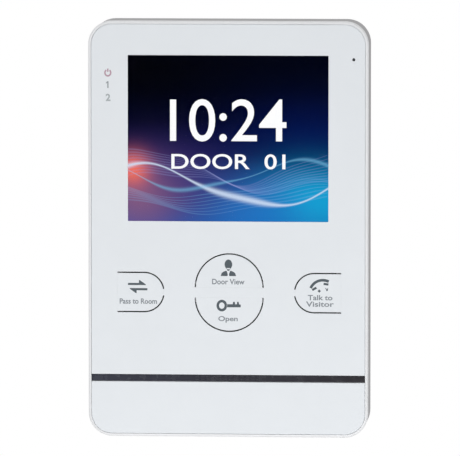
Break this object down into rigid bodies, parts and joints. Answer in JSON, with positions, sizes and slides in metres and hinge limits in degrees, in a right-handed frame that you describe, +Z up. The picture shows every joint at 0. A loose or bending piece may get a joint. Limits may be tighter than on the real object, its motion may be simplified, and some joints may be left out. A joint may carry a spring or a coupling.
{
  "type": "video intercom monitor",
  "caption": "Slim white wall-mounted hands-free video intercom monitor: colour display, press keys in the front plate, side control wheels and a hook-on wall bracket.",
  "frame": {"origin": "centre of the wall bracket's screw pattern, on the wall plane", "axes": "+X to the right seen from the front, +Y into the wall, +Z up; the front faces -Y"},
  "size_m": [0.1094, 0.022, 0.1627],
  "materials": {
    "white_plastic": "fine satin moulded plastic",
    "grey_plastic": "fine textured moulded plastic",
    "key_plastic": "fine satin moulded plastic",
    "dark_plastic": "smooth dark plastic",
    "window": "clear hard-coated acrylic",
    "display": "display stack, emissive picture",
    "foam": "closed-cell foam",
    "tape": "translucent tape",
    "light_guide": "frosted clear plastic",
    "led": "emissive when lit",
    "board": "solder mask",
    "chip": "moulded epoxy",
    "capacitor": "bare can",
    "ferrite": "sintered ferrite",
    "connector": "natural nylon",
    "pins": "gold-flashed",
    "ribbon": "polyimide film",
    "steel": "bright steel",
    "zinc_steel": "zinc-plated sheet steel",
    "screw": "zinc-plated",
    "magnet": "plated cup",
    "cone": "treated paper cone",
    "copper": "enamelled copper",
    "rubber": "black silicone",
    "wheel": "knurled plastic",
    "lead": "PVC sleeve"
  },
  "bodies": {
    "bracket": {"wall_bracket": "zinc_steel"},
    "unit": {"accent_strip": "dark_plastic", "backlight_unit": "light_guide", "board_capacitors": "capacitor", "board_screws": "screw", "case_screws": "screw", "control_pots": "wheel", "display_frame": "steel", "display_gasket": "foam", "display_glass": "display", "display_ribbon": "ribbon", "display_window": "window", "front_bezel": "white_plastic", "header_pins": "pins", "indicator_leds": "led", "indicator_light_guide": "light_guide", "key_switch_bodies": "chip", "line_headers": "connector", "lower_front_panel": "white_plastic", "main_board": "board", "main_processor": "chip", "microphone_boot": "rubber", "microphone_capsule": "capacitor", "microphone_pins": "pins", "panel_adhesive": "tape", "power_inductors": "ferrite", "rear_cover": "grey_plastic", "ribbon_connector": "connector", "small_chips": "chip", "speaker_basket": "steel", "speaker_cone": "cone", "speaker_connector": "connector", "speaker_gasket": "foam", "speaker_lead": "lead", "speaker_magnet": "magnet", "speaker_screws": "screw", "upper_front_panel": "white_plastic", "voice_coil": "copper"},
    "monitor_key": {"monitor_key": "key_plastic"},
    "monitor_plunger": {"monitor_switch_plunger": "dark_plastic"},
    "unlock_key": {"unlock_key": "key_plastic"},
    "unlock_plunger": {"unlock_switch_plunger": "dark_plastic"},
    "transfer_key": {"transfer_key": "key_plastic"},
    "transfer_plunger": {"transfer_switch_plunger": "dark_plastic"},
    "answer_key": {"answer_key": "key_plastic"},
    "answer_plunger": {"answer_switch_plunger": "dark_plastic"},
    "volume_wheel": {"volume_wheel": "wheel"},
    "brightness_wheel": {"brightness_wheel": "wheel"},
    "colour_wheel": {"colour_wheel": "wheel"}
  },
  "joints": [
    {"name": "unit_lift", "type": "slide", "parent": "bracket", "child": "unit", "axis": [0, 0, 1], "range_m": [0, 0.006]},
    {"name": "transfer_key_press", "type": "hinge", "parent": "unit", "child": "transfer_key", "pos_m": [-0.0433, -0.02155, -0.0253], "axis": [0, 0, 1], "range_deg": [0, 1.5], "stiffness_Nm_per_rad": 1},
    {"name": "answer_key_press", "type": "hinge", "parent": "unit", "child": "answer_key", "pos_m": [0.0442, -0.02155, -0.0253], "axis": [0, 0, -1], "range_deg": [0, 1.5], "stiffness_Nm_per_rad": 1},
    {"name": "monitor_key_press", "type": "hinge", "parent": "unit", "child": "monitor_key", "pos_m": [0.00045, -0.02155, -0.0233], "axis": [-1, 0, 0], "range_deg": [0, 2.3], "stiffness_Nm_per_rad": 0.45},
    {"name": "unlock_key_press", "type": "hinge", "parent": "unit", "child": "unlock_key", "pos_m": [0.00045, -0.02155, -0.0273], "axis": [1, 0, 0], "range_deg": [0, 2.3], "stiffness_Nm_per_rad": 0.45},
    {"name": "monitor_plunger_travel", "type": "slide", "parent": "unit", "child": "monitor_plunger", "axis": [0, 1, 0], "range_m": [0, 0.0003]},
    {"name": "unlock_plunger_travel", "type": "slide", "parent": "unit", "child": "unlock_plunger", "axis": [0, 1, 0], "range_m": [0, 0.0003]},
    {"name": "transfer_plunger_travel", "type": "slide", "parent": "unit", "child": "transfer_plunger", "axis": [0, 1, 0], "range_m": [0, 0.0003]},
    {"name": "answer_plunger_travel", "type": "slide", "parent": "unit", "child": "answer_plunger", "axis": [0, 1, 0], "range_m": [0, 0.0003]},
    {"name": "volume_wheel_turn", "type": "hinge", "parent": "unit", "child": "volume_wheel", "pos_m": [-0.048, -0.0085, -0.0139], "axis": [0, 1, 0], "range_deg": [-135, 135]},
    {"name": "brightness_wheel_turn", "type": "hinge", "parent": "unit", "child": "brightness_wheel", "pos_m": [-0.048, -0.0085, -0.0275], "axis": [0, 1, 0], "range_deg": [-135, 135]},
    {"name": "colour_wheel_turn", "type": "hinge", "parent": "unit", "child": "colour_wheel", "pos_m": [-0.048, -0.0085, -0.0411], "axis": [0, 1, 0], "range_deg": [-135, 135]}
  ],
  "couplings": [
    {"joint": "monitor_plunger_travel", "follows": "monitor_key_press", "m_per_rad": 0.0072},
    {"joint": "unlock_plunger_travel", "follows": "unlock_key_press", "m_per_rad": 0.0072},
    {"joint": "transfer_plunger_travel", "follows": "transfer_key_press", "m_per_rad": 0.0111},
    {"joint": "answer_plunger_travel", "follows": "answer_key_press", "m_per_rad": 0.0111}
  ]
}
